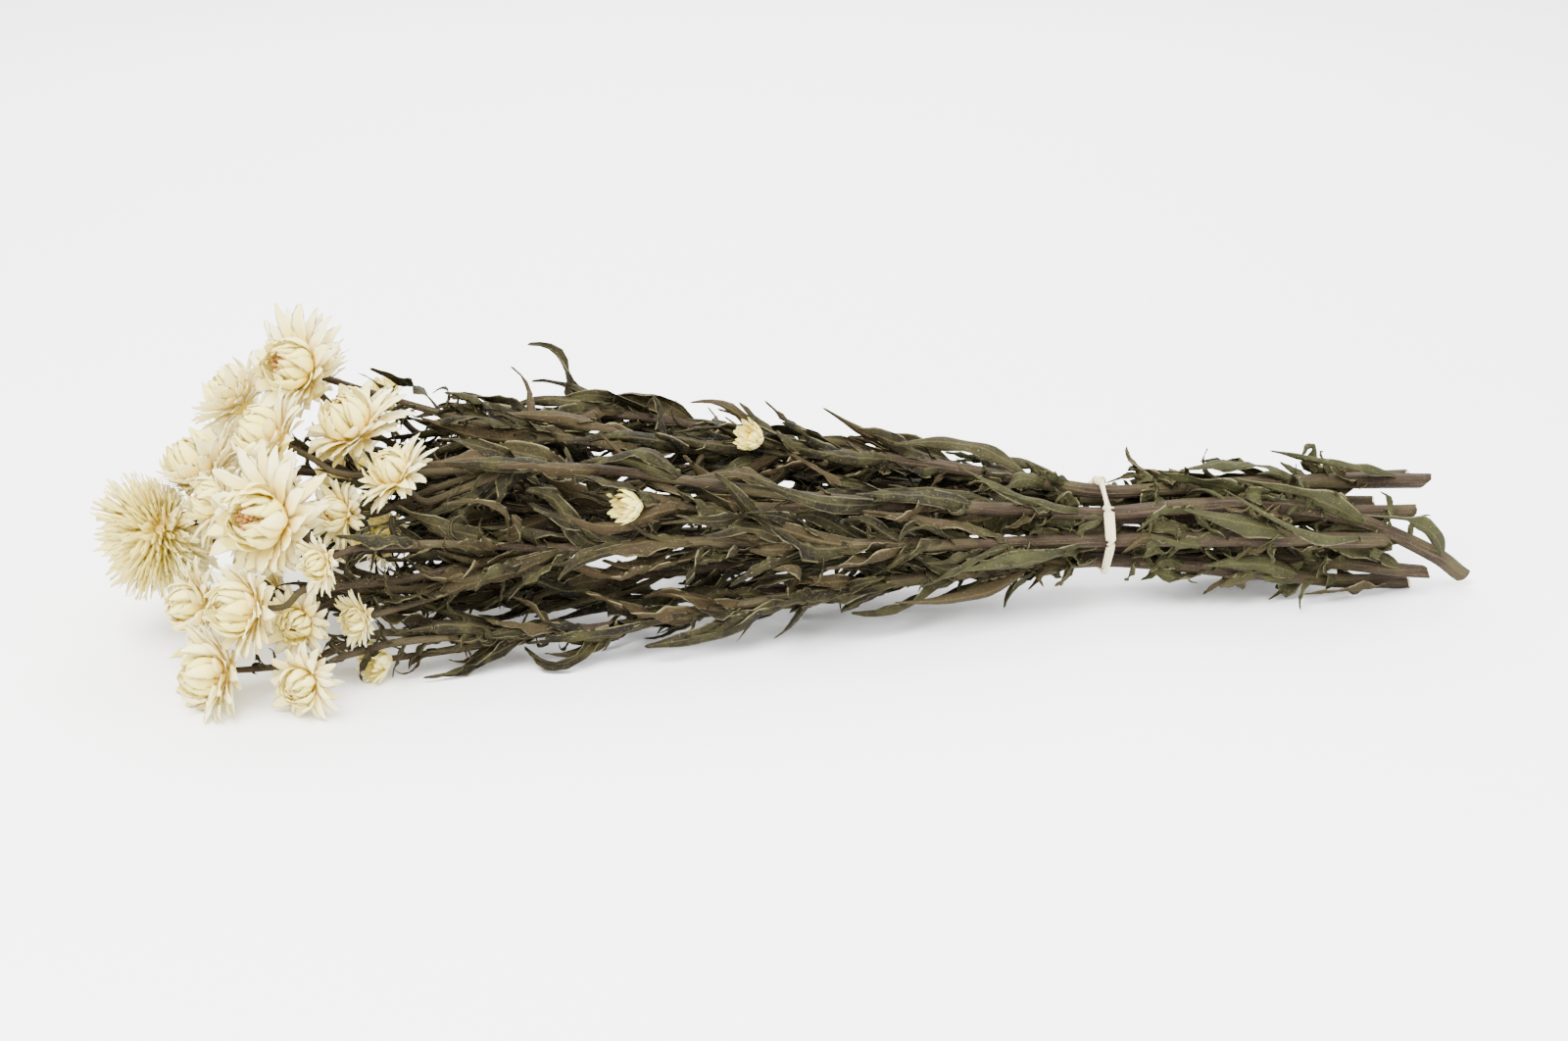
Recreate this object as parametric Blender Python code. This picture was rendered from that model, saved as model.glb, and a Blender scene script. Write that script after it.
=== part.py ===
"""A tied bunch of dried strawflowers lying on its side, in metres, +Z up.

The cut ends point along +X and the flower heads along -X. Each leafy stem is one
solid with its branches and leaves, each flower head is one solid, and a twisted
band ties the stems. Positions in the tables are in millimetres, in the photo's
layout. Then the whole bunch is moved so that its origin is the middle of its base.
"""

import math

import bmesh
import bpy
import numpy as np
from mathutils import Matrix

MM = 0.001
SEED = 68

# Driving dimensions, in millimetres
TIE_X = 118.0
TIE_WIDTH = 4.4
TIE_THICKNESS = 1.5
TIE_SLACK = 0.5
GRID_STEP = 4.0
LEADER_SPACING = 32.0
BRANCH_SPACING = 23.0
GAP = 0.4
LEADER_TIP_RADIUS = 1.15
BRANCH_ROOT_RADIUS = 1.75
BASE_SEAT = 0.5
SEATED_WITHIN = 2.5
FLOOR = 0.63

# Each stem: cut end (x, y, z), thickness radius there, then points (x, y, z) towards
# the heads. The last stretch is worked out to the flower head that it carries.
STEMS = {
    "a": (3.0, [(259, -10, 4), (240, -18, 21), (221, -21, 35), (202, -22, 41), (161, -22, 44),
                (118, -15, 38), (69, -23, 46), (33, -25, 49), (-3, -27, 55), (-38, -28, 62),
                (-66, -26, 70), (-94, -24, 72), (-125, -20, 71)]),
    "b": (2.8, [(222, -26, 26), (170, -27, 30), (118, -19, 29), (67, -31, 35), (14, -36, 38),
                (-39, -38, 45), (-74, -38, 44), (-109, -36, 40)]),
    "c": (2.7, [(238, -9, 2.46), (175, -24, 15), (118, -13, 19), (60, -26, 22), (12, -34, 21),
                (-41, -40, 17), (-76, -42, 12), (-128, -44, 14)]),
    "d": (2.9, [(247, 4, 38), (188, 2, 42), (118, -4, 43), (75, 2, 50), (23, 4, 61),
                (-12, 6, 62), (-71, 6, 66), (-113, 6, 76)]),
    "e": (2.6, [(236, -14, 33), (118, -10.9, 34.8), (0, -10, 45), (-100, -3, 46), (-150, -1, 50)]),
    "f": (2.6, [(229, 6, 16), (118, -8.75, 21.6), (0, -14, 25), (-100, -21, 24)]),
    "g": (2.7, [(243, 13, 37), (118, 5, 40), (0, 24, 58), (-100, 34, 72)]),
    "h": (2.7, [(233, 21, 24), (118, 14.2, 33.2), (0, 42, 40), (-100, 52, 46)]),
    "i": (2.8, [(224, 18, 2.6), (118, 10, 23), (0, 32, 20), (-100, 50, 18)]),
    "j": (2.6, [(240, -21, 11), (118, -1, 17), (0, -6, 10), (-100, -8, 12)]),
    "k": (2.5, [(230, 1, 24), (118, 10.5, 28.1), (0, 12, 38), (-100, 18, 42)]),
}

# Each head: middle (x, y, z), outer radius, facing, stem, where it branches off
# along x (None for the head that ends the stem), and openness from 0 for a bud.
HEADS = {
    "01": ((-176, 10, 100), 21, (-0.62, -0.50, 0.42), "d", None, 0.8),
    "02": ((-199, 27, 86), 18, (-0.60, 0.30, 0.60), "g", -62, 0.9),
    "03": ((-187, -14, 83), 20, (-0.80, 0.05, 0.45), "a", -70, 1.0),
    "04": ((-157, -6, 84), 20, (-0.45, -0.15, 0.88), "d", -76, 1.0),
    "05": ((-212, 6, 67), 21, (-0.60, 0.15, 0.75), "e", -70, 0.9),
    "06": ((-143, -31, 73), 15, (-0.60, -0.15, 0.78), "a", -86, 0.9),
    "07": ((-144, 30, 80), 10, (-0.50, -0.20, 0.70), "g", -84, 0.4),
    "08": ((-228, -4, 44), 26, (-0.93, -0.28, -0.12), "k", None, 1.0),
    "09": ((-188, -50, 64), 24, (-0.35, -0.86, 0.32), "b", None, 1.0),
    "10": ((-197, -64, 37), 20, (-0.86, -0.40, 0.18), "b", -90, 0.8),
    "11": ((-215, -34, 27), 17, (-0.92, -0.30, 0.00), "f", None, 0.9),
    "12": ((-169, -67, 53), 11, (-0.75, -0.55, -0.10), "b", -78, 0.5),
    "13": ((-209, -63, 14), 20, (-0.92, -0.32, 0.12), "c", None, 0.9),
    "14": ((-178, -53.5, 26), 13, (-0.40, -0.80, 0.05), "f", -84, 0.9),
    "15": ((-177, -76, 13), 14, (-0.55, -0.72, -0.10), "c", -96, 0.9),
    "16": ((-157, -57, 28), 10, (-0.80, -0.50, 0.00), "b", -70, 0.5),
    "17": ((-163, -22, 55), 13, (-0.75, -0.45, 0.25), "a", None, 0.9),
    "18": ((-147, 2, 37), 12, (-0.75, -0.45, 0.20), "k", -80, 0.8),
    "19": ((-162, 22, 56), 15.6, (-0.75, 0.10, 0.30), "g", None, 0.8),
    "20": ((-150, -47, 8.5), 9, (-0.85, -0.40, 0.10), "c", -84, 0.4),
    "21": ((-60, -38, 58), 9, (-0.85, -0.40, 0.10), "b", 20, 0.2),
    "22": ((-12, -4, 70), 8, (-0.70, -0.35, 0.45), "d", 52, 0.3),
    "23": ((-206, -22, 62), 15, (-0.82, -0.25, 0.35), "e", None, 0.9),
    "24": ((-200, 50, 60), 22, (-0.72, 0.45, 0.40), "h", None, 0.9),
    "25": ((-194, 66, 28), 21, (-0.75, 0.55, 0.10), "i", None, 0.9),
    "26": ((-219, 32, 28), 20, (-0.95, 0.20, 0.05), "h", -66, 0.9),
    "27": ((-172, 46, 84), 17, (-0.60, 0.40, 0.60), "h", -60, 0.8),
    "28": ((-160, 74, 13), 16, (-0.65, 0.70, 0.10), "i", -80, 0.8),
    "29": ((-190, 4, 14), 16, (-0.95, 0.00, 0.05), "j", None, 0.9),
    "30": ((-158, 64, 46), 15, (-0.60, 0.65, 0.30), "i", -66, 0.7),
}

STEM_COLOUR = (0.115, 0.085, 0.055)
BRACT_COLOUR = (0.86, 0.74, 0.50)
TIE_COLOUR = (0.78, 0.72, 0.58)


# The bunch as paths: every strand runs from its root to its head, on one grid of x.

def unit(v):
    v = np.asarray(v, float)
    return v / np.linalg.norm(v)


def smooth_path(points, x):
    """Catmull-Rom curve through points that run along falling x, read at x."""
    p = np.array(points, float)[::-1]
    knots, values = p[:, 0], p[:, 1:]
    slope = np.gradient(values, knots, axis=0)
    k = np.clip(np.searchsorted(knots, x) - 1, 0, len(knots) - 2)
    h = knots[k + 1] - knots[k]
    t = np.clip((x - knots[k]) / h, 0, 1)[:, None]
    h = h[:, None]
    a = (2 * t**3 - 3 * t**2 + 1) * values[k] + (t**3 - 2 * t**2 + t) * h * slope[k]
    b = (3 * t**2 - 2 * t**3) * values[k + 1] + (t**3 - t**2) * h * slope[k + 1]
    return a + b


def head_base(name):
    """The point on the back of a head where its stem ends."""
    middle, radius, facing = HEADS[name][:3]
    return np.array(middle, float) - unit(facing) * (0.5 * radius + BASE_SEAT)


def layout():
    """Every strand as points from root to head, eased apart until the stems clear each
    other, the other heads and the floor. Returns {strand: (stem, points, radii)}."""
    grid = np.arange(-236.0, 262.0, GRID_STEP)
    strands = []
    for head, (middle, radius, facing, stem, fork, openness) in HEADS.items():
        thickness, points = STEMS[stem]
        base = head_base(head)
        lead = base - unit(facing) * 9.0
        lead[0] = max(lead[0], base[0] + 4.0)
        ends = [tuple(lead), tuple(base)]
        if fork is None:
            way = [p for p in points if p[0] > lead[0] + 8] + ends
            root = points[0][0]
        else:
            way = [p for p in points if p[0] > fork - 1] + ends
            root = fork
        strands.append((head, stem, fork, root, base[0], way, thickness))
    count = len(strands)
    stem_of = np.array([s[1] for s in strands])
    roots = np.array([s[3] for s in strands], float)
    tips = np.array([s[4] for s in strands], float)
    yz = np.array([smooth_path(s[5], grid) for s in strands])
    fork_point = np.where([s[2] is None for s in strands], 1e3, roots)
    leaders = {s[1]: n for n, s in enumerate(strands) if s[2] is None}
    parent = np.array([leaders[s] for s in stem_of])
    live = (grid >= tips[:, None] - GRID_STEP) & (grid <= roots[:, None] + GRID_STEP)
    radius = np.array([strand_radius(s, grid) for s in strands])
    middles = np.array([h[0] for h in HEADS.values()], float)
    reach = np.array([0.9 * h[1] for h in HEADS.values()])
    hold = np.ones((count, len(grid)))
    hold[grid[None, :] < tips[:, None] + 10] = 0.0
    hold[(grid[None, :] > roots[:, None] - 12) & (fork_point > 999)[:, None]] = 0.0
    hold[:, abs(grid - TIE_X) < 9] = 0.0
    same = stem_of[:, None] == stem_of[None, :]
    pairs = live[:, None] & live[None, :] & ~same[:, :, None]
    far_x = middles[None, :, 0, None] - grid[None, None, :]
    disc = np.sqrt(np.maximum(reach[None, :, None] ** 2 - far_x**2, 0))
    own = np.eye(count, dtype=bool)
    spare = np.where(abs(grid - TIE_X) < 36, 0.35, 1.6)
    for step in range(320):
        delta = yz[:, None] - yz[None, :]
        dist = np.sqrt((delta**2).sum(-1)) + 1e-6
        need = radius[:, None] + radius[None, :] + spare
        push = np.where(pairs & (dist < need), 0.5 * (need - dist) / dist, 0)
        move = (push[..., None] * delta).sum(1)
        off = yz[:, None] - middles[None, :, None, 1:]
        away = np.sqrt((off**2).sum(-1)) + 1e-6
        room = disc + radius[:, None] + 2.0
        hit = (away < room) & (disc > 0) & ~own[:, :, None] & live[:, None]
        move += (np.where(hit, 0.5 * (room - away) / away, 0)[..., None] * off).sum(1)
        bend = np.zeros_like(yz)
        bend[:, 1:-1] = 0.5 * (yz[:, :-2] + yz[:, 2:]) - yz[:, 1:-1]
        ease_out = 0.22 if step < 240 else 0.04
        yz += hold[..., None] * (0.7 * move + ease_out * bend)
        yz[..., 1] = np.maximum(yz[..., 1], 0.87 * radius + FLOOR)
        for n, s in enumerate(strands):
            if s[2] is not None:
                past = grid >= s[2] - 0.5
                ease = np.clip((grid - (s[2] - 16)) / 16, 0, 1)[:, None]
                yz[n] += ease * (yz[parent[n]] - yz[n])
                yz[n][past] = yz[parent[n]][past]
    made = {}
    for n, s in enumerate(strands):
        keep = (grid > tips[n] + 1.5) & (grid < roots[n] - 1.5)
        x = np.concatenate([[tips[n]], grid[keep], [roots[n]]])
        y = np.interp(x, grid, yz[n, :, 0])
        z = np.interp(x, grid, yz[n, :, 1])
        points = np.stack([x, y, z], 1)[::-1]
        points[-1] = head_base(s[0])
        made[s[0]] = (s[1], points, strand_radius(s, points[:, 0]))
    return made


def strand_radius(strand, x):
    """Thickness radius along x: the stem tapers from its cut end, a branch from its fork."""
    fork, root, tip, thickness = strand[2], strand[3], strand[4], strand[6]
    if fork is None:
        t = np.clip((root - x) / (root - tip), 0, 1)
        return thickness + (LEADER_TIP_RADIUS - thickness) * t**1.6
    t = np.clip((fork - x) / (fork - tip), 0, 1)
    return BRANCH_ROOT_RADIUS + (LEADER_TIP_RADIUS - BRANCH_ROOT_RADIUS) * t


# Leaves: a leaf is a path of stations with a width and an up direction at each.

LEAF_STATIONS = np.array([0.0, 0.3, 0.62, 1.0])
CHECK_STATIONS = np.linspace(0.12, 1.0, 12)


def leaf_frame(leaf, t):
    """Middle line, side direction and half width of a leaf at stations t, by formula:
    it leaves its stem outwards, turns along it, and curls and twists towards the tip."""
    root, along, out, length, width, rise, curl, twist, wave = leaf
    s = np.asarray(t)[:, None]
    side = np.cross(along, out)
    lean = rise * (1 - np.exp(-3.2 * s)) / 3.2
    curve = curl * s**2
    middle = root + length * (along * (s - 0.18 * s**2 * abs(curl)) + out * (lean + curve)
                              + side * wave * np.sin(3.6 * s) * 0.10)
    angle = twist * s
    across = side * np.cos(angle) + out * np.sin(angle)
    half = 0.5 * width * (0.16 + 0.84 * np.sin(np.pi * np.clip(s, 0, 0.96) ** 0.75) ** 1.2)
    return middle, across, half


def leaf_samples(leaf):
    middle, across, half = leaf_frame(leaf, CHECK_STATIONS)
    return np.concatenate([middle + across * half * k for k in (-1, -0.5, 0, 0.5, 1)])


def grow_leaves(strands, rng):
    """Leaves in order along each stem. A leaf that would meet another stem, its leaves,
    a head, the tie or the floor is turned to another side, and left out after 18 tries."""
    line = np.concatenate([s[1] for s in strands.values()])
    line_radius = np.concatenate([s[2] for s in strands.values()])
    line_stem = np.concatenate([np.full(len(s[1]), s[0]) for s in strands.values()])
    middles = np.array([h[0] for h in HEADS.values()], float)
    reach = np.array([h[1] for h in HEADS.values()], float)
    placed, placed_stem = np.empty((0, 3)), np.empty(0, line_stem.dtype)
    leaves = []
    for head, (stem, points, radii) in strands.items():
        fork = HEADS[head][4]
        start = points[0, 0] - (10 if fork is None else 14)
        x = start
        stop = max(points[-1, 0] + 22, -150)
        angle = rng.uniform(0, 2 * math.pi)
        while x > stop:
            at = int(np.argmin(abs(points[:, 0] - x)))
            at = min(max(at, 1), len(points) - 2)
            along = unit(points[at + 1] - points[at - 1])
            centre = np.array([x, 0.0, 30.0 + 0.05 * max(0, -x)])
            free = points[at] - centre
            free -= along * (free @ along)
            free = unit(free + 1e-3)
            for attempt in range(18):
                turn = rng.normal(0, 0.75) + 0.25 * attempt * rng.choice([-1, 1])
                side = np.cross(along, free)
                out = free * math.cos(turn) + side * math.sin(turn)
                spread = rng.uniform(0.3, 0.8)
                length = rng.uniform(28, 60) * (0.75 if attempt > 8 else 1)
                leaf = (points[at] + out * 0.4 * radii[at], along, out, length,
                        rng.uniform(6.0, 10.5), spread, rng.uniform(-0.22, 0.16),
                        rng.normal(0, 0.8), rng.normal(0, 1))
                cloud = leaf_samples(leaf)
                if cloud[:, 2].min() < 0.8:
                    continue
                if (abs(cloud[:, 0] - TIE_X) < 6).any() or abs(x - TIE_X) < 8:
                    continue
                near = np.linalg.norm(cloud[:, None] - line[None], axis=2) - line_radius
                if near[:, line_stem != stem].min() < 2.2:
                    continue
                outer = np.tile(CHECK_STATIONS > 0.4, 5)
                if near[outer][:, line_stem == stem].min() < 0.9:
                    continue
                away = np.linalg.norm(cloud[:, None] - middles[None], axis=2) - reach
                if away.min() < 1.0:
                    continue
                if len(placed):
                    gap = np.linalg.norm(cloud[:, None] - placed[None], axis=2)
                    other = placed_stem != stem
                    if other.any() and gap[:, other].min() < 3.4:
                        continue
                    if (~other).any() and gap[:, ~other].min() < 3.0:
                        continue
                placed = np.concatenate([placed, cloud])
                placed_stem = np.concatenate([placed_stem, np.full(len(cloud), stem)])
                leaves.append((stem, leaf))
                break
            x -= rng.uniform(28, 43)
    return leaves


# Solids

def new_object(name, points, faces, material):
    mesh = bpy.data.meshes.new(name)
    mesh.from_pydata([tuple(p) for p in np.asarray(points) * MM], [], faces)
    mesh.update()
    obj = bpy.data.objects.new(name, mesh)
    bpy.context.scene.collection.objects.link(obj)
    obj.data.materials.append(material)
    turned_outwards(obj)
    return obj


def turned_outwards(obj):
    work = bmesh.new()
    work.from_mesh(obj.data)
    bmesh.ops.recalc_face_normals(work, faces=work.faces)
    work.to_mesh(obj.data)
    work.free()


def material(name, colour, roughness):
    made = bpy.data.materials.new(name)
    made.use_nodes = True
    shader = made.node_tree.nodes["Principled BSDF"]
    shader.inputs["Base Color"].default_value = (*colour, 1)
    shader.inputs["Roughness"].default_value = roughness
    shader.inputs["Metallic"].default_value = 0
    return made


def ring_faces(rings, sides, closed=False):
    """Quads between rings of points, each with the same number of sides."""
    faces = []
    for i in range(rings if closed else rings - 1):
        for j in range(sides):
            k = (j + 1) % sides
            n = (i + 1) % rings
            faces.append((i * sides + j, i * sides + k, n * sides + k, n * sides + j))
    return faces


def tube(points, radii, sides):
    """A closed tube along points, its rings square to the path."""
    points = np.asarray(points, float)
    tangent = np.gradient(points, axis=0)
    tangent /= np.linalg.norm(tangent, axis=1)[:, None]
    side = np.cross(tangent, [0, 0, 1])
    side /= np.linalg.norm(side, axis=1)[:, None]
    up = np.cross(side, tangent)
    angle = np.linspace(0, 2 * np.pi, sides, endpoint=False)
    ring = side[:, None] * np.cos(angle)[:, None] + up[:, None] * np.sin(angle)[:, None]
    verts = points[:, None] + ring * np.asarray(radii)[:, None, None]
    faces = ring_faces(len(points), sides)
    last = (len(points) - 1) * sides
    faces.append(tuple(range(sides))[::-1])
    faces.append(tuple(last + j for j in range(sides)))
    return verts.reshape(-1, 3), faces


def leaf_solid(leaf):
    """A thin blade with a raised rib above and below, pointed at its tip."""
    middle, across, half = leaf_frame(leaf, LEAF_STATIONS)
    normal = np.cross(np.gradient(middle, axis=0), across)
    normal /= np.linalg.norm(normal, axis=1)[:, None]
    rib = np.array([0.9, 0.75, 0.6])[:, None]
    m, n, a, h = middle[:-1], normal[:-1], across[:-1], half[:-1]
    fold = 0.16 * h
    rings = np.stack([m - a * h + n * fold, m - n * rib, m + a * h + n * fold, m + n * rib], 1)
    verts = np.concatenate([rings.reshape(-1, 3), middle[-1:]])
    count = len(m)
    faces = ring_faces(count, 4)
    faces.append((3, 2, 1, 0))
    last = 4 * (count - 1)
    faces += [(last + j, last + (j + 1) % 4, last + 4) for j in range(4)]
    return verts, faces


def fused(name, pieces, paint):
    """One solid from overlapping closed meshes, by a Boolean union on a collection."""
    (points, faces), *rest = pieces
    body = new_object(name, points, faces, paint)
    if not rest:
        return body
    group = bpy.data.collections.new(name + "_repeats")
    bpy.context.scene.collection.children.link(group)
    for n, (points, faces) in enumerate(rest):
        piece = new_object(f"{name}_{n}", points, faces, paint)
        bpy.context.scene.collection.objects.unlink(piece)
        group.objects.link(piece)
    union = body.modifiers.new("union", "BOOLEAN")
    union.operation = "UNION"
    union.operand_type = "COLLECTION"
    union.collection = group
    union.solver = "MANIFOLD"
    graph = bpy.context.evaluated_depsgraph_get()
    mesh = bpy.data.meshes.new_from_object(body.evaluated_get(graph))
    body.modifiers.clear()
    body.data = mesh
    keep_outer_skin(body)
    for piece in list(group.objects):
        bpy.data.objects.remove(piece)
    bpy.data.collections.remove(group)
    return body


def keep_outer_skin(obj):
    """Drops the loose scraps and the sealed hollows that a union leaves: only the
    largest connected skin stays."""
    work = bmesh.new()
    work.from_mesh(obj.data)
    left, skins = set(work.faces), []
    while left:
        found, edge = set(), [left.pop()]
        while edge:
            face = edge.pop()
            found.add(face)
            near = {f for e in face.edges for f in e.link_faces} & left
            left -= near
            edge.extend(near)
        skins.append(found)
    largest = max(skins, key=len)
    bmesh.ops.delete(work, geom=[f for f in work.faces if f not in largest], context="FACES")
    work.to_mesh(obj.data)
    work.free()


def thinned(points, radii, spacing):
    """Every few points of a path, always with its ends and where the tie crosses it."""
    run = np.concatenate([[0], np.cumsum(np.linalg.norm(np.diff(points, axis=0), axis=1))])
    stops = [0, run[-1]]
    if points[0, 0] > TIE_X:
        stops.insert(1, np.interp(-TIE_X, -points[:, 0], run))
    at = [[0.0]]
    for begin, end in zip(stops[:-1], stops[1:]):
        count = max(2, int(round((end - begin) / spacing)))
        at.append(np.linspace(begin, end, count + 1)[1:])
    at = np.concatenate(at)
    slim = np.stack([np.interp(at, run, points[:, k]) for k in range(3)], 1)
    return slim, np.interp(at, run, radii)


def leafy_stem(stem, strands, leaves, paint):
    pieces = []
    for head, (owner, points, radii) in strands.items():
        if owner != stem:
            continue
        leader = HEADS[head][4] is None
        path, thick = thinned(points, radii, LEADER_SPACING if leader else BRANCH_SPACING)
        pieces.insert(0 if leader else len(pieces), tube(path, thick, 6 if leader else 5))
    pieces += [leaf_solid(leaf) for owner, leaf in leaves if owner == stem]
    return fused("stem_" + stem, pieces, paint)


# Flower heads

# Rings of a head from its base to its crown: radius and height as shares of the head's
# radius, at a bract's middle line and between two bracts, and which set of bracts.
HEAD_RINGS = [
    (0.22, 0.22, -0.46, -0.46, 0),
    (1.00, 0.44, -0.16, -0.26, 0),
    (0.42, 0.42, -0.08, -0.08, 0),
    (0.86, 0.46, 0.28, 0.08, 1),
    (0.42, 0.42, 0.14, 0.14, 1),
    (0.53, 0.47, 0.34, 0.30, 0),
    (0.30, 0.34, 0.62, 0.50, 2),
]
BUD_RINGS = [
    (0.14, 0.14, -0.50, -0.50, 0),
    (0.62, 0.34, -0.42, -0.34, 0),
    (0.46, 0.46, -0.20, -0.20, 0),
    (0.62, 0.54, 0.10, 0.10, 1),
    (0.42, 0.40, 0.55, 0.48, 0),
    (0.16, 0.16, 0.66, 0.66, 0),
]


def pressed(points, name):
    """Bends a head's points clear of the heads beside it and of the floor: each neighbour
    takes the far side of a plane, and what would cross the plane is eased in behind it."""
    middle, radius = np.array(HEADS[name][0], float), HEADS[name][1]
    planes = [(np.array([0, 0, -1.0]), middle[2] - FLOOR)]
    for other, spec in HEADS.items():
        gap = np.array(spec[0], float) - middle
        dist = np.linalg.norm(gap)
        if other == name or dist > radius + spec[1] + 2:
            continue
        share = 0.5 * (dist**2 + radius**2 - spec[1] ** 2) / dist
        planes.append((gap / dist, np.clip(share, 0.32 * dist, 0.68 * dist) - 0.5 * GAP))
    p = np.array(points, float) - middle
    for normal, limit in planes:
        reach = p @ normal
        soft = 0.55 * limit
        over = np.maximum(reach - soft, 0)
        eased = (limit - soft) * (1 - np.exp(-over / (limit - soft)))
        p += np.outer(eased - over, normal)
    lowest = p[:, 2].min()
    down = FLOOR - middle[2]
    if lowest - down < SEATED_WITHIN:
        p[:, 2] = np.where(p[:, 2] < 0, p[:, 2] * down / lowest, p[:, 2])
    return p + middle


def flower_head(name, paint, rng):
    middle, radius, facing, _, _, openness = HEADS[name]
    big = openness > 0.45
    rings = HEAD_RINGS if big else BUD_RINGS
    bracts = 7 if big else 5
    axis = unit(facing)
    side = unit(np.cross(axis, [0.1, 0.2, 1.0]))
    up = np.cross(side, axis)
    samples = 3 * bracts
    turn = rng.uniform(0, 2 * math.pi)
    points = [np.array(middle) - axis * 0.5 * radius]
    for r_tip, r_gap, h_tip, h_gap, phase in rings:
        for j in range(samples):
            tip = (j + phase) % 3 != 0
            angle = turn + j * 2 * math.pi / samples
            vary = rng.uniform(0.86, 1.0) if tip and r_tip > 0.6 else 1.0
            r = radius * (r_tip * vary if tip else r_gap)
            h = radius * (h_tip if tip else h_gap)
            points.append(np.array(middle) + axis * h
                          + r * (side * math.cos(angle) + up * math.sin(angle)))
    crown = 0.40 if big else rings[-1][2] + 0.05
    points.append(np.array(middle) + axis * crown * radius)
    count = len(rings)
    faces = [tuple(v + 1 for v in face) for face in ring_faces(count, samples)]
    top = 1 + count * samples
    faces += [(0, 1 + (j + 1) % samples, 1 + j) for j in range(samples)]
    last = 1 + (count - 1) * samples
    faces += [(last + j, last + (j + 1) % samples, top) for j in range(samples)]
    return new_object("head_" + name, pressed(points, name), faces, paint)


def tie_band(strands, paint):
    """The band lies round the stems at TIE_X: the outline of their discs at its middle
    and at its edges, made wider."""
    at = []
    for head, (stem, points, radii) in strands.items():
        if HEADS[head][4] is None:
            path, thick = thinned(points, radii, LEADER_SPACING)
            for x in (TIE_X - 0.5 * TIE_WIDTH, TIE_X, TIE_X + 0.5 * TIE_WIDTH):
                values = (path[:, 1], path[:, 2], thick)
                at.append([np.interp(-x, -path[:, 0], v) for v in values])
    angle = np.linspace(0, 2 * np.pi, 96, endpoint=False)
    ray = np.stack([np.cos(angle), np.sin(angle)], 1)
    discs = np.array(at)
    support = (discs[:, :2] @ ray.T + discs[:, 2:]).max(0) + TIE_SLACK + 0.5 * TIE_THICKNESS
    slope = np.gradient(np.concatenate([support[-1:], support, support[:1]]))[1:-1] / (angle[1])
    tangent = np.stack([-ray[:, 1], ray[:, 0]], 1)
    loop = (ray * support[:, None] + tangent * slope[:, None])[::4]
    count = len(loop)
    ahead = np.roll(loop, -1, 0) - np.roll(loop, 1, 0)
    outward = np.stack([ahead[:, 1], -ahead[:, 0]], 1)
    outward /= np.linalg.norm(outward, axis=1)[:, None]
    turn = np.linspace(0, 2 * np.pi, 6, endpoint=False)
    points = []
    for k in range(count):
        for a in turn:
            lift = 0.5 * TIE_THICKNESS * math.sin(a) * 1.15
            y, z = loop[k] + outward[k] * lift
            points.append((TIE_X + 0.5 * TIE_WIDTH * math.cos(a), y, z))
    return new_object("tie", points, ring_faces(count, 6, closed=True), paint)


def centre_on_base():
    """Moves every mesh alike, so that the origin is the middle of the base."""
    meshes = [obj.data for obj in bpy.context.scene.collection.objects]
    corners = np.array([v.co for mesh in meshes for v in mesh.vertices])
    low, high = corners.min(0), corners.max(0)
    shift = np.array([-(low[0] + high[0]) / 2, -(low[1] + high[1]) / 2, -low[2]])
    for mesh in meshes:
        mesh.transform(Matrix.Translation(shift))
    print("origin moved by", shift / MM)


def main():
    for obj in list(bpy.data.objects):
        bpy.data.objects.remove(obj)
    rng = np.random.default_rng(SEED)
    stem_paint = material("dried_stem", STEM_COLOUR, 0.8)
    bract_paint = material("papery_bract", BRACT_COLOUR, 0.55)
    tie_paint = material("twisted_tie", TIE_COLOUR, 0.7)
    strands = layout()
    leaves = grow_leaves(strands, rng)
    print(len(leaves), "leaves")
    for stem in STEMS:
        leafy_stem(stem, strands, leaves, stem_paint)
    for name in HEADS:
        flower_head(name, bract_paint, rng)
    tie_band(strands, tie_paint)
    centre_on_base()


main()
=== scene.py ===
"""Looks of a tied bunch of dried strawflowers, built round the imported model, in metres.

Stems, leaves and heads follow the same rules as the solids: the strands of the stems are
eased apart, leaves grow along them, and heads are rosettes of papery bracts. Each shape
is a surface over two parameters, worked out in millimetres in the photo's layout, with x
along the stems towards their cut ends, y away from the camera and z up.
"""

import math
from collections import namedtuple

import bpy
import numpy as np
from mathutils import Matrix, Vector


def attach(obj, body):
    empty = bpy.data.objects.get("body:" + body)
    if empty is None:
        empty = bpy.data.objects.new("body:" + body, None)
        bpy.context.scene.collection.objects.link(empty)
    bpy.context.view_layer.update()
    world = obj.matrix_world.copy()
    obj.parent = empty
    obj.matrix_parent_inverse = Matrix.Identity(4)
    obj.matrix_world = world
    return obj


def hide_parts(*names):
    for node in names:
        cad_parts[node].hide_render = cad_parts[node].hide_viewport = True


MM = 0.001

# The seed of the leaves that the solids have, and how far their pack moved the origin
SEED = 68
SHIFT = np.array([-7.53539056, -0.40604919, -0.63000002])
# The seed of everything that this file adds
DETAIL_SEED = 7

# Where the tie is along x, and the height of the floor
TIE_X = 118.0
FLOOR = 0.63

# The stems: steps along x, rounds of easing apart, how many of those smooth strongly,
# thickness radii, and the gap to a head
GRID_STEP = 4.0
ROUNDS = 320
SMOOTH_ROUNDS = 240
LEADER_TIP_RADIUS = 1.15
BRANCH_ROOT_RADIUS = 1.75
BASE_SEAT = 0.5

# Their surfaces: sides and ring spacing of a tube, and about a full turn, for phases
TUBE_SIDES = 12
TUBE_STEP = 2.2
TURN = 6.3

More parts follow.
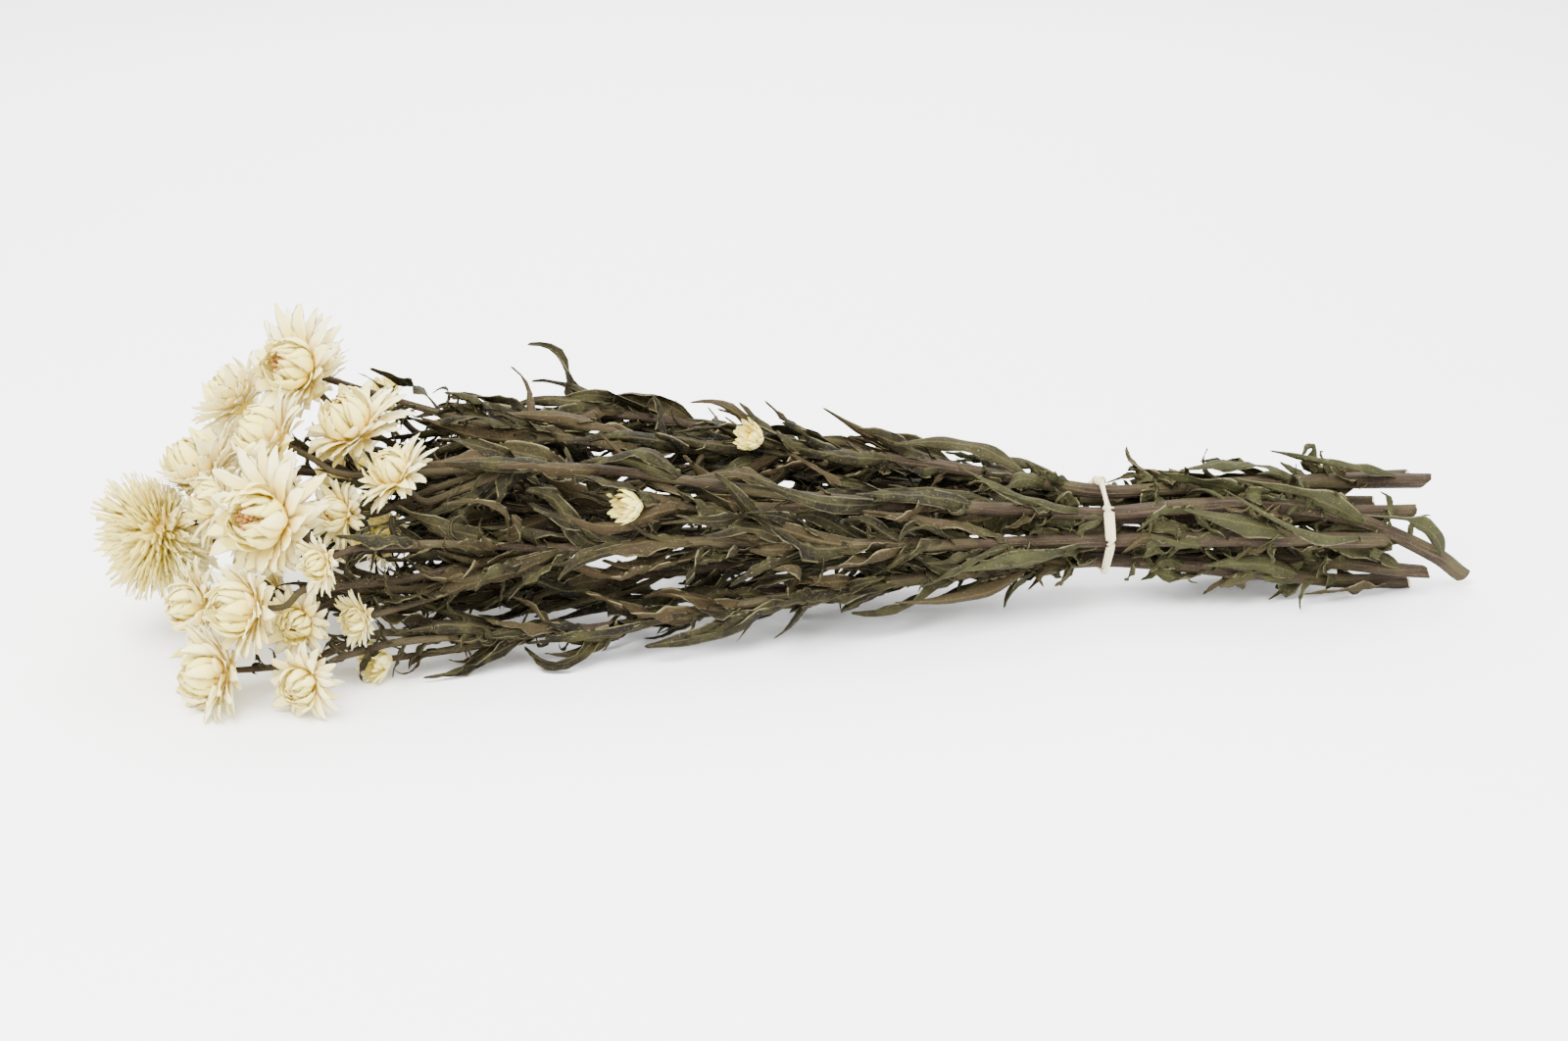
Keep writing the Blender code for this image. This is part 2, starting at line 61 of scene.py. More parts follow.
# The leaves: tries for each grown one, and how high all stay above the floor
LEAF_TRIES = 18
LEAF_CLEARANCE = 0.2

# The small leaves: where along x they are short, near the cut ends, and thin, near the
# heads, the share of thin ones elsewhere, and the stem on which they stand further apart
SHORT_BEYOND = 84
THIN_BEFORE = -105
THIN_SHARE = 0.22
SPARSE_STEM = "a"
SPARSER = 4.0

# The heads: openness up to which one is a bud, the angle from one bract to the next, how
# far bracts pass the plane between two heads, how near the floor a head is brought down to
# it, florets in a mouth, and how far turned mouths gape, in radians
BUD_OPENNESS = 0.45
GOLDEN_ANGLE = 2.39996
PRESS_SLACK = 1.2
SEATED_WITHIN = 2.5
FLORETS = 60
GAPE = 0.55

# In Bracts, q runs from the outermost bract of a head to the innermost
Head = namedtuple("Head", "middle radius facing stem fork openness")
Strand = namedtuple("Strand", "head stem fork root tip way thickness")
Course = namedtuple("Course", "stem points radii")
Bracts = namedtuple("Bracts", "q foot_r foot_h length width lean0 lean1 inner")

# Each stem: thickness radius at its cut end, then points (x, y, z) from there
STEMS = {
    "a": (3.0, [(259, -10, 4), (240, -18, 21), (221, -21, 35), (202, -22, 41), (161, -22, 44),
                (118, -15, 38), (69, -23, 46), (33, -25, 49), (-3, -27, 55), (-38, -28, 62),
                (-66, -26, 70), (-94, -24, 72), (-125, -20, 71)]),
    "b": (2.8, [(222, -26, 26), (170, -27, 30), (118, -19, 29), (67, -31, 35), (14, -36, 38),
                (-39, -38, 45), (-74, -38, 44), (-109, -36, 40)]),
    "c": (2.7, [(238, -9, 2.46), (175, -24, 15), (118, -13, 19), (60, -26, 22), (12, -34, 21),
                (-41, -40, 17), (-76, -42, 12), (-128, -44, 14)]),
    "d": (2.9, [(247, 4, 38), (188, 2, 42), (118, -4, 43), (75, 2, 50), (23, 4, 61),
                (-12, 6, 62), (-71, 6, 66), (-113, 6, 76)]),
    "e": (2.6, [(236, -14, 33), (118, -10.9, 34.8), (0, -10, 45), (-100, -3, 46), (-150, -1, 50)]),
    "f": (2.6, [(229, 6, 16), (118, -8.75, 21.6), (0, -14, 25), (-100, -21, 24)]),
    "g": (2.7, [(243, 13, 37), (118, 5, 40), (0, 24, 58), (-100, 34, 72)]),
    "h": (2.7, [(233, 21, 24), (118, 14.2, 33.2), (0, 42, 40), (-100, 52, 46)]),
    "i": (2.8, [(224, 18, 2.6), (118, 10, 23), (0, 32, 20), (-100, 50, 18)]),
    "j": (2.6, [(240, -21, 11), (118, -1, 17), (0, -6, 10), (-100, -8, 12)]),
    "k": (2.5, [(230, 1, 24), (118, 10.5, 28.1), (0, 12, 38), (-100, 18, 42)]),
}

# Each head: middle, outer radius, facing, stem, fork along x or None, and openness
HEADS = {
    "01": Head((-176, 10, 100), 21, (-0.62, -0.5, 0.42), "d", None, 0.8),
    "02": Head((-199, 27, 86), 18, (-0.6, 0.3, 0.6), "g", -62, 0.9),
    "03": Head((-187, -14, 83), 20, (-0.8, 0.05, 0.45), "a", -70, 1.0),
    "04": Head((-157, -6, 84), 20, (-0.45, -0.15, 0.88), "d", -76, 1.0),
    "05": Head((-212, 6, 67), 21, (-0.6, 0.15, 0.75), "e", -70, 0.9),
    "06": Head((-143, -31, 73), 15, (-0.6, -0.15, 0.78), "a", -86, 0.9),
    "07": Head((-144, 30, 80), 10, (-0.5, -0.2, 0.7), "g", -84, 0.4),
    "08": Head((-228, -4, 44), 26, (-0.93, -0.28, -0.12), "k", None, 1.0),
    "09": Head((-188, -50, 64), 24, (-0.35, -0.86, 0.32), "b", None, 1.0),
    "10": Head((-197, -64, 37), 20, (-0.86, -0.4, 0.18), "b", -90, 0.8),
    "11": Head((-215, -34, 27), 17, (-0.92, -0.3, 0.0), "f", None, 0.9),
    "12": Head((-169, -67, 53), 11, (-0.75, -0.55, -0.1), "b", -78, 0.5),
    "13": Head((-209, -63, 14), 20, (-0.92, -0.32, 0.12), "c", None, 0.9),
    "14": Head((-178, -53.5, 26), 13, (-0.4, -0.8, 0.05), "f", -84, 0.9),
    "15": Head((-177, -76, 13), 14, (-0.55, -0.72, -0.1), "c", -96, 0.9),
    "16": Head((-157, -57, 28), 10, (-0.8, -0.5, 0.0), "b", -70, 0.5),
    "17": Head((-163, -22, 55), 13, (-0.75, -0.45, 0.25), "a", None, 0.9),
    "18": Head((-147, 2, 37), 12, (-0.75, -0.45, 0.2), "k", -80, 0.8),
    "19": Head((-162, 22, 56), 15.6, (-0.75, 0.1, 0.3), "g", None, 0.8),
    "20": Head((-150, -47, 8.5), 9, (-0.85, -0.4, 0.1), "c", -84, 0.4),
    "21": Head((-60, -38, 58), 9, (-0.85, -0.4, 0.1), "b", 20, 0.2),
    "22": Head((-12, -4, 70), 8, (-0.7, -0.35, 0.45), "d", 52, 0.3),
    "23": Head((-206, -22, 62), 15, (-0.82, -0.25, 0.35), "e", None, 0.9),
    "24": Head((-200, 50, 60), 22, (-0.72, 0.45, 0.4), "h", None, 0.9),
    "25": Head((-194, 66, 28), 21, (-0.75, 0.55, 0.1), "i", None, 0.9),
    "26": Head((-219, 32, 28), 20, (-0.95, 0.2, 0.05), "h", -66, 0.9),
    "27": Head((-172, 46, 84), 17, (-0.6, 0.4, 0.6), "h", -60, 0.8),
    "28": Head((-160, 74, 13), 16, (-0.65, 0.7, 0.1), "i", -80, 0.8),
    "29": Head((-190, 4, 14), 16, (-0.95, 0.0, 0.05), "j", None, 0.9),
    "30": Head((-158, 64, 46), 15, (-0.6, 0.65, 0.3), "i", -66, 0.7),
}
# The fringed head
POMPON = "08"

# Where a head's mouth looks, for heads that the photo shows turned off their stem's line
TURNED = {"09": (-0.66, -0.70, 0.28), "01": (-0.66, -0.62, 0.42)}


# The strands and the leaves that the solids have, by the same rules

def unit(v):
    v = np.asarray(v, float)
    return v / np.linalg.norm(v)


def unit_rows(v):
    return v / np.linalg.norm(v, axis=-1, keepdims=True)


def angles(count):
    """Angles evenly round a circle."""
    return np.linspace(0, 2 * np.pi, count, endpoint=False)


def circle(side, up, angle):
    """Unit vectors at the angles from side towards up, one set for each side and up."""
    cosine, sine = np.cos(angle)[:, None], np.sin(angle)[:, None]
    return side[..., None, :] * cosine + up[..., None, :] * sine


def smooth_path(points, x):
    """Cubic Hermite curve through points that run along falling x, read at x."""
    p = np.array(points, float)[::-1]
    knots, values = p[:, 0], p[:, 1:]
    slope = np.gradient(values, knots, axis=0)
    k = np.clip(np.searchsorted(knots, x) - 1, 0, len(knots) - 2)
    h = knots[k + 1] - knots[k]
    t = np.clip((x - knots[k]) / h, 0, 1)[:, None]
    h = h[:, None]
    a = (2 * t**3 - 3 * t**2 + 1) * values[k] + (t**3 - 2 * t**2 + t) * h * slope[k]
    b = (3 * t**2 - 2 * t**3) * values[k + 1] + (t**3 - t**2) * h * slope[k + 1]
    return a + b


def head_middle(name):
    return np.array(HEADS[name].middle, float)


def head_balls():
    """The middles and the radii of all heads."""
    return (np.array([h.middle for h in HEADS.values()], float),
            np.array([h.radius for h in HEADS.values()], float))


def head_base(name):
    """The point on the back of a head where its stem ends."""
    head = HEADS[name]
    return head_middle(name) - unit(head.facing) * (0.5 * head.radius + BASE_SEAT)


def strand_radius(strand, x):
    """Thickness radius along x: a stem tapers from its cut end, a branch from its fork."""
    t = np.clip((strand.root - x) / (strand.root - strand.tip), 0, 1)
    if strand.fork is None:
        return strand.thickness + (LEADER_TIP_RADIUS - strand.thickness) * t**1.6
    return BRANCH_ROOT_RADIUS + (LEADER_TIP_RADIUS - BRANCH_ROOT_RADIUS) * t


def layout():
    """Every strand from its root to its head, eased apart until the stems clear each other,
    the other heads and the floor. A strand is a stem's leader or one of its branches, and
    a branch keeps to its leader up to its fork. Returns {head: Course}."""
    grid = np.arange(-236.0, 262.0, GRID_STEP)
    strands = []
    for name, head in HEADS.items():
        thickness, points = STEMS[head.stem]
        base = head_base(name)
        lead = base - unit(head.facing) * 9.0
        lead[0] = max(lead[0], base[0] + 4.0)
        ends = [tuple(lead), tuple(base)]
        if head.fork is None:
            way = [p for p in points if p[0] > lead[0] + 8] + ends
            root = points[0][0]
        else:
            way = [p for p in points if p[0] > head.fork - 1] + ends
            root = head.fork
        strands.append(Strand(name, head.stem, head.fork, root, base[0], way, thickness))
    count = len(strands)
    stem_of = np.array([s.stem for s in strands])
    roots = np.array([s.root for s in strands], float)
    tips = np.array([s.tip for s in strands], float)
    yz = np.array([smooth_path(s.way, grid) for s in strands])
    is_leader = np.array([s.fork is None for s in strands])
    leaders = {s.stem: n for n, s in enumerate(strands) if s.fork is None}
    live = (grid >= tips[:, None] - GRID_STEP) & (grid <= roots[:, None] + GRID_STEP)
    radius = np.array([strand_radius(s, grid) for s in strands])
    middles, reach = head_balls()
    reach = 0.9 * reach
    hold = np.ones((count, len(grid)))
    hold[grid[None, :] < tips[:, None] + 10] = 0.0
    hold[(grid[None, :] > roots[:, None] - 12) & is_leader[:, None]] = 0.0
    hold[:, abs(grid - TIE_X) < 9] = 0.0
    same = stem_of[:, None] == stem_of[None, :]
    pairs = live[:, None] & live[None, :] & ~same[:, :, None]
    far_x = middles[None, :, 0, None] - grid[None, None, :]
    disc = np.sqrt(np.maximum(reach[None, :, None] ** 2 - far_x**2, 0))
    own = np.eye(count, dtype=bool)
    spare = np.where(abs(grid - TIE_X) < 36, 0.35, 1.6)
    for step in range(ROUNDS):
        delta = yz[:, None] - yz[None, :]
        dist = np.sqrt((delta**2).sum(-1)) + 1e-6
        need = radius[:, None] + radius[None, :] + spare
        push = np.where(pairs & (dist < need), 0.5 * (need - dist) / dist, 0)
        move = (push[..., None] * delta).sum(1)
        off = yz[:, None] - middles[None, :, None, 1:]
        away = np.sqrt((off**2).sum(-1)) + 1e-6
        room = disc + radius[:, None] + 2.0
        hit = (away < room) & (disc > 0) & ~own[:, :, None] & live[:, None]
        move += (np.where(hit, 0.5 * (room - away) / away, 0)[..., None] * off).sum(1)
        bend = np.zeros_like(yz)
        bend[:, 1:-1] = 0.5 * (yz[:, :-2] + yz[:, 2:]) - yz[:, 1:-1]
        ease_out = 0.22 if step < SMOOTH_ROUNDS else 0.04
        yz += hold[..., None] * (0.7 * move + ease_out * bend)
        yz[..., 1] = np.maximum(yz[..., 1], 0.87 * radius + FLOOR)
        for n, s in enumerate(strands):
            if s.fork is not None:
                leader = yz[leaders[s.stem]]
                past = grid >= s.fork - 0.5
                ease = np.clip((grid - (s.fork - 16)) / 16, 0, 1)[:, None]
                yz[n] += ease * (leader - yz[n])
                yz[n][past] = leader[past]
    made = {}
    for n, s in enumerate(strands):
        keep = (grid > tips[n] + 1.5) & (grid < roots[n] - 1.5)
        x = np.concatenate([[tips[n]], grid[keep], [roots[n]]])
        y = np.interp(x, grid, yz[n, :, 0])
        z = np.interp(x, grid, yz[n, :, 1])
        points = np.stack([x, y, z], 1)[::-1]
        points[-1] = head_base(s.head)
        made[s.head] = Course(s.stem, points, strand_radius(s, points[:, 0]))
    return made


CHECK_STATIONS = np.linspace(0.12, 1.0, 12)


def leaf_frame(leaf, t):
    """Middle line, side direction and half width of a leaf at stations t: it leaves its
    stem outwards, turns along it, and curls and twists towards the tip."""
    root, along, out, length, width, rise, curl, twist, wave = leaf
    s = t[:, None]
    side = np.cross(along, out)
    lean = rise * (1 - np.exp(-3.2 * s)) / 3.2
    curve = curl * s**2
    middle = root + length * (along * (s - 0.18 * s**2 * abs(curl)) + out * (lean + curve)
                              + side * wave * np.sin(3.6 * s) * 0.10)
    angle = twist * s
    across = side * np.cos(angle) + out * np.sin(angle)
    half = 0.5 * width * (0.16 + 0.84 * np.sin(np.pi * np.clip(s, 0, 0.96) ** 0.75) ** 1.2)
    return middle, across, half


def leaf_samples(leaf):
    """Points all over a leaf."""
    middle, across, half = leaf_frame(leaf, CHECK_STATIONS)
    return np.concatenate([middle + across * half * k for k in (-1, -0.5, 0, 0.5, 1)])


def distances(a, b):
    """The distance of each point of a from each point of b."""
    return np.linalg.norm(a[:, None] - b[None], axis=2)


def spot_on(points, x):
    """The number of a strand's point next to x, and the strand's direction there."""
    at = int(np.clip(np.argmin(abs(points[:, 0] - x)), 1, len(points) - 2))
    return at, unit(points[at + 1] - points[at - 1])


def grow_leaves(strands, rng):
    """Leaves in order along each stem. A leaf that would meet another stem, its leaves,
    a head, the tie or the floor is turned to another side, and left out if all tries fail."""
    line = np.concatenate([s.points for s in strands.values()])
    line_radius = np.concatenate([s.radii for s in strands.values()])
    line_stem = np.concatenate([np.full(len(s.points), s.stem) for s in strands.values()])
    middles, reach = head_balls()
    placed, placed_stem = np.empty((0, 3)), np.empty(0, line_stem.dtype)
    leaves = []
    for head, (stem, points, radii) in strands.items():
        x = points[0, 0] - (10 if HEADS[head].fork is None else 14)
        stop = max(points[-1, 0] + 22, -150)
        # A number that isn't used keeps the draws in step with those of the solids
        rng.uniform()
        while x > stop:
            at, along = spot_on(points, x)
            centre = np.array([x, 0.0, 30.0 + 0.05 * max(0, -x)])
            free = points[at] - centre
            free -= along * (free @ along)
            free = unit(free + 1e-3)
            for attempt in range(LEAF_TRIES):
                turn = rng.normal(0, 0.75) + 0.25 * attempt * rng.choice([-1, 1])
                side = np.cross(along, free)
                out = free * math.cos(turn) + side * math.sin(turn)
                spread = rng.uniform(0.3, 0.8)
                length = rng.uniform(28, 60) * (0.75 if attempt > 8 else 1)
                leaf = (points[at] + out * 0.4 * radii[at], along, out, length,
                        rng.uniform(6.0, 10.5), spread, rng.uniform(-0.22, 0.16),
                        rng.normal(0, 0.8), rng.normal(0, 1))
                cloud = leaf_samples(leaf)
                if cloud[:, 2].min() < 0.8:
                    continue
                if (abs(cloud[:, 0] - TIE_X) < 6).any() or abs(x - TIE_X) < 8:
                    continue
                near = distances(cloud, line) - line_radius
                if near[:, line_stem != stem].min() < 2.2:
                    continue
                outer = np.tile(CHECK_STATIONS > 0.4, 5)
                if near[outer][:, line_stem == stem].min() < 0.9:
                    continue
                if (distances(cloud, middles) - reach).min() < 1.0:
                    continue
                if len(placed):
                    gap = distances(cloud, placed)
                    other = placed_stem != stem
                    if other.any() and gap[:, other].min() < 3.4:
                        continue
                    if (~other).any() and gap[:, ~other].min() < 3.0:
                        continue
                placed = np.concatenate([placed, cloud])
                placed_stem = np.concatenate([placed_stem, np.full(len(cloud), stem)])
                leaves.append((stem, leaf))
                break
            x -= rng.uniform(28, 43)
    return leaves


# Surfaces: a piece is gathered from rings of points, with a few numbers at each point

class Skin:
    """Gathers surfaces into one mesh. Each surface is an array of points
    [copies, rings, sides, 3], closed round its sides, with a pole at either end. Numbers
    for its material are given as values or as arrays that spread over its points."""

    def __init__(self):
        self.points, self.quads, self.triangles = [], [], []
        self.numbers = {}
        self.count = 0

    def add(self, rings, start, end, **numbers):
        """Adds copies of a closed surface: rings, and the poles before and after them."""
        copies, count, sides = rings.shape[:3]
        size = count * sides
        both = np.stack([start, end], 1)
        points = np.concatenate([rings.reshape(copies, size, 3), both], 1)
        first = self.count + np.arange(copies)[:, None, None] * (size + 2)
        quad = quads_between(np.arange(count - 1), np.arange(1, count), sides)
        a = np.arange(sides)
        b = (a + 1) % sides
        low = np.stack([np.full(sides, size), b, a], -1)
        top = (count - 1) * sides
        high = np.stack([top + a, top + b, np.full(sides, size + 1)], -1)
        ends = np.concatenate([low, high])
        if enclosed(points[0], quad, ends) < 0:
            quad, ends = quad[:, ::-1], ends[:, ::-1]
        self.quads.append((first + quad).reshape(-1, 4))
        self.triangles.append((first + ends).reshape(-1, 3))
        self.points.append(points.reshape(-1, 3))
        for name, values in numbers.items():
            grid = np.broadcast_to(values, (copies, count, sides)).reshape(copies, size)
            ends = np.stack([grid[:, :sides].mean(1), grid[:, -sides:].mean(1)], 1)
            self.numbers.setdefault(name, []).append(np.concatenate([grid, ends], 1).ravel())
        self.count += copies * (size + 2)

    def object(self, name, material, head=None):
        """The mesh object of all surfaces, pressed to fit as a part of the head, if given."""
        points = np.concatenate(self.points)
        if head:
            points = pressed(points, head)
        faces = np.concatenate(self.quads).tolist() + np.concatenate(self.triangles).tolist()
        numbers = {label: np.concatenate(parts) for label, parts in self.numbers.items()}
        return mesh_object(name, points, faces, numbers, material)


def quads_between(rings, next_rings, sides):
    """Quads from each ring to the one that comes next, by the numbers of the rings."""
    i, n = rings[:, None] * sides, next_rings[:, None] * sides
    j = np.arange(sides)
    k = (j + 1) % sides
    return np.stack([i + j, i + k, n + k, n + j], -1).reshape(-1, 4)


def scene_object(name, data):
    """A new object in the scene, with this mesh, lamp or camera."""
    made = bpy.data.objects.new(name, data)
    bpy.context.scene.collection.objects.link(made)
    return made


def mesh_object(name, points, faces, numbers, material):
    """A smooth shaded object in metres from points in millimetres. The numbers at its
    points become attributes for its material."""
    mesh = bpy.data.meshes.new(name)
    mesh.from_pydata(((points + SHIFT) * MM).tolist(), [], [tuple(f) for f in faces])
    for label, values in numbers.items():
        layer = mesh.attributes.new(label, "FLOAT", "POINT")
        layer.data.foreach_set("value", values.astype(np.float32))
    mesh.polygons.foreach_set("use_smooth", np.ones(len(mesh.polygons), bool))
    mesh.materials.append(material)
    mesh.update()
    made = scene_object(name, mesh)
    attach(made, "root")
    return made


def enclosed(points, quads, triangles):
    """Six times the volume inside a closed surface, negative where it is inside out."""
    p = points - points.mean(0)
    halves = np.concatenate([triangles, quads[:, [0, 1, 2]], quads[:, [0, 2, 3]]])
    a, b, c = p[halves[:, 0]], p[halves[:, 1]], p[halves[:, 2]]
    return (a * np.cross(b, c)).sum()


def sides_of(path):
    """Unit side and up vectors along a path, the side kept level."""
    tangent = unit_rows(np.gradient(path, axis=0))
    side = unit_rows(np.cross(tangent, [0, 0, 1.0]))
    return side, np.cross(side, tangent)


def resampled(points, radii):
    """The path, its radii and the way run along it, at even steps. The path is smoothed."""
    run = np.concatenate([[0], np.cumsum(np.linalg.norm(np.diff(points, axis=0), axis=1))])
    at = np.linspace(0, run[-1], int(run[-1] / TUBE_STEP) + 2)
    path = np.stack([np.interp(at, run, points[:, k]) for k in range(3)], 1)
    for _ in range(3):
        path[1:-1] = 0.25 * (path[:-2] + path[2:]) + 0.5 * path[1:-1]
    return path, np.interp(at, run, radii), at


def ribbed_tube(skin, points, radii, rng, cut):
    """A stem or branch: a circle carried along its path, nowhere below the floor. Its
    radius is the stem's, times one plus a few ribs, sines of a multiple of the angle that
    wander along the stem, and a slow swelling. At a cut end, three more rings close it to
    a dished, slanting face."""
    path, radius, run = resampled(points, radii)
    side, up = sides_of(path)
    angle = angles(TUBE_SIDES)
    phase = rng.uniform(0, TURN, 4)
    wander = 0.6 * np.sin(run / 37 + phase[0])[:, None]
    ribs = (0.05 * np.sin(5 * angle + wander + phase[1])
            + 0.035 * np.sin(3 * angle - 2 * wander + phase[2]))
    swell = 0.05 * np.sin(run / 9.0 + phase[3])[:, None]
    r = radius[:, None] * (1 + ribs + swell)
    rings = path[:, None] + circle(side, up, angle) * r[..., None]
    rings[..., 2] = np.maximum(rings[..., 2], FLOOR)
    mark = np.zeros(len(run))
    start = path[0]
    if cut:
        tangent = unit(path[0] - path[1])
        slant = rng.uniform(0.2, 0.9) * radius[0]
        lean = slant * np.cos(angle - rng.uniform(0, TURN))[:, None]
        splinter = 0.12 * radius[0] * rng.normal(0, 1, (TUBE_SIDES, 1))
        rings[0] += tangent * (lean + splinter)
        face = [path[0] + (rings[0] - path[0]) * k - tangent * depth
                for k, depth in ((0.25, 0.35), (0.6, 0.15), (0.93, 0.0))]
        rings = np.concatenate([face, rings])
        mark = np.concatenate([[1.0] * len(face), mark])
        run = np.concatenate([[0.0] * len(face), run])
        start = rings[0].mean(0)
    skin.add(rings[None], start[None], path[-1][None], cut=mark[:, None], run=run[:, None],
             turn=angle / (2 * np.pi), tone=rng.uniform(0, 1))


def curled_path(shoot, t):
    """Middle line, side direction and half width of a shrivelled leaf. Its direction
    starts at spread from the stem, coils with a power of the way along, and sways sideways
    as a sine; the middle line is the sum of that direction."""
    root, along, out, length, width, spread, coil, sway, phase, twist = shoot
    s = np.linspace(0, 1, 61)
    lean = spread - coil * s**1.8
    yaw = sway * np.sin(5.0 * s + phase) - sway * math.sin(phase)
    side = np.cross(along, out)
    way = (along * (np.cos(lean) * np.cos(yaw))[:, None]
           + out * (np.sin(lean) * np.cos(yaw))[:, None] + side * np.sin(yaw)[:, None])
    line = root + length / 60 * np.cumsum(way, 0)
    middle = np.stack([np.interp(t, s, line[:, k]) for k in range(3)], 1)
    angle = (twist * t)[:, None]
    across = side * np.cos(angle) + out * np.sin(angle)
    half = 0.5 * width * (0.2 + 0.8 * np.sin(np.pi * np.clip(t, 0, 0.96) ** 0.7) ** 0.9)
    return middle, across, half[:, None]


def leaf_blade(skin, shape_at, leaf, rng, stations, roll, ruffle):
    """A dried leaf: an arc across, carried along the leaf's middle line. The arc's half
    angle, the roll, grows towards the tip. Its edges ruffle as a sine along the leaf times
    the square of the distance from the midrib, creases run along it as a quicker sine,
    and it is thickest at the midrib."""
    t = np.linspace(0.0, 0.985, stations)
    middle, across, half = shape_at(leaf, t)
    tangent = unit_rows(np.gradient(middle, axis=0))
    across = unit_rows(across - tangent * (across * tangent).sum(1)[:, None])
    normal = np.cross(tangent, across)
    bow = roll * (0.35 + 0.9 * t)[:, None]
    v = np.array([-1, -0.66, -0.33, 0, 0.33, 0.66, 1, 0.66, 0.33, 0, -0.33, -0.66])
    under = np.arange(12) > 6
    beat = rng.uniform(7, 15)
    wave = np.sin(beat * t[:, None] + rng.uniform(0, TURN) + 1.3 * np.sign(v))
    lift = ruffle * 0.26 * half * wave * v**2 * np.sin(np.pi * np.clip(t, 0.04, 1))[:, None]
    fold = rng.uniform(18, 34)
    crease = 0.10 * ruffle * half * np.sin(fold * t + rng.uniform(0, TURN))[:, None]
    lift = lift + crease * np.cos(2.2 * v + rng.uniform(0, TURN))
    x = half * np.sin(bow * v) / bow
    y = half * (1 - np.cos(bow * v)) / bow + lift
    thick = (0.10 + 0.30 * np.exp(-(v / 0.22) ** 2)) * np.clip(half / 2.0, 0.3, 1)
    y = y - thick * np.where(under, 1, -0.35) * (abs(v) < 0.99)
    y += np.where(under, -0.10, 0.10) * (abs(v) < 0.99)
    rings = middle[:, None] + across[:, None] * x[..., None] + normal[:, None] * y[..., None]
    rings[..., 2] = np.maximum(rings[..., 2], FLOOR + LEAF_CLEARANCE)
    tip = middle[-1] + tangent[-1] * 1.2
    tip[2] = max(tip[2], FLOOR + LEAF_CLEARANCE)
    root = leaf[0]
    skin.add(rings[None], middle[:1], tip[None], reach=t[:, None], across=v,
             tone=rng.uniform(0, 1), green=np.clip((root[0] - 60) / 60, 0, 1))


# Flower heads

def pressed(points, name):
    """Bends a head's points clear of the heads beside it and of the floor: each neighbour
    takes the far side of a plane, and what would cross the plane is eased in behind it."""
    middle, radius = head_middle(name), HEADS[name].radius
    planes = [(np.array([0, 0, -1.0]), middle[2] - FLOOR)]
    for other, head in HEADS.items():
        gap = head_middle(other) - middle
        dist = np.linalg.norm(gap)
        if other == name or dist > radius + head.radius + 2:
            continue
        share = 0.5 * (dist**2 + radius**2 - head.radius**2) / dist
        limit = np.clip(share, 0.32 * dist, 0.68 * dist) + PRESS_SLACK
        planes.append((gap / dist, limit))
    p = np.array(points, float) - middle
    for normal, limit in planes:
        reach = p @ normal
        soft = 0.55 * limit
        over = np.maximum(reach - soft, 0)
        eased = (limit - soft) * (1 - np.exp(-over / (limit - soft)))
        p += np.outer(eased - over, normal)
    lowest = p[:, 2].min()
    down = FLOOR - middle[2]
    if lowest - down < SEATED_WITHIN:
        p[:, 2] = np.where(p[:, 2] < 0, p[:, 2] * down / lowest, p[:, 2])
    return p + middle


def head_axes(name):
    """The direction that a head's mouth looks in, and two more at right angles to it."""
    axis = unit(TURNED.get(name, HEADS[name].facing))
    side = unit(np.cross(axis, [0.1, 0.2, 1.0]))
    return axis, side, np.cross(side, axis)


def bud_bracts(radius, openness, rng):
    """A bud: wide bracts in order from its base, all leaning in over the mouth."""
    count = int(32 + 1.3 * radius)
    q = np.linspace(0, 1, count)
    return Bracts(q, foot_r=radius * (0.10 + 0.22 * q**0.6),
                  foot_h=radius * (-0.50 + 0.35 * q),
                  length=radius * (0.55 + 0.55 * np.sin(np.pi * q**0.7)),
                  width=radius * (0.25 - 0.07 * q),
                  lean0=np.radians(62 - 40 * q),
                  lean1=np.radians(-5 - 25 * q + 60 * openness) + rng.normal(0, 0.12, count),
                  inner=0.45 + 0.55 * q)


def pompon_bracts(radius, rng):
    """A fringed head: many narrow bracts that spread from leaning back to upright."""
    count = 460
    q = np.linspace(0, 1, count)
    return Bracts(q, foot_r=radius * (0.08 + 0.14 * q),
                  foot_h=radius * (-0.30 + 0.34 * q),
                  length=radius * (0.70 + 0.12 * np.sin(np.pi * q**0.8)),
                  width=radius * (0.052 + 0.016 * rng.uniform(0, 1, count)),
                  lean0=np.radians(112 - 92 * q**1.2),
                  lean1=np.radians(138 - 118 * q**1.2) + rng.normal(0, 0.13, count),
                  inner=0.40 + 0.4 * q)


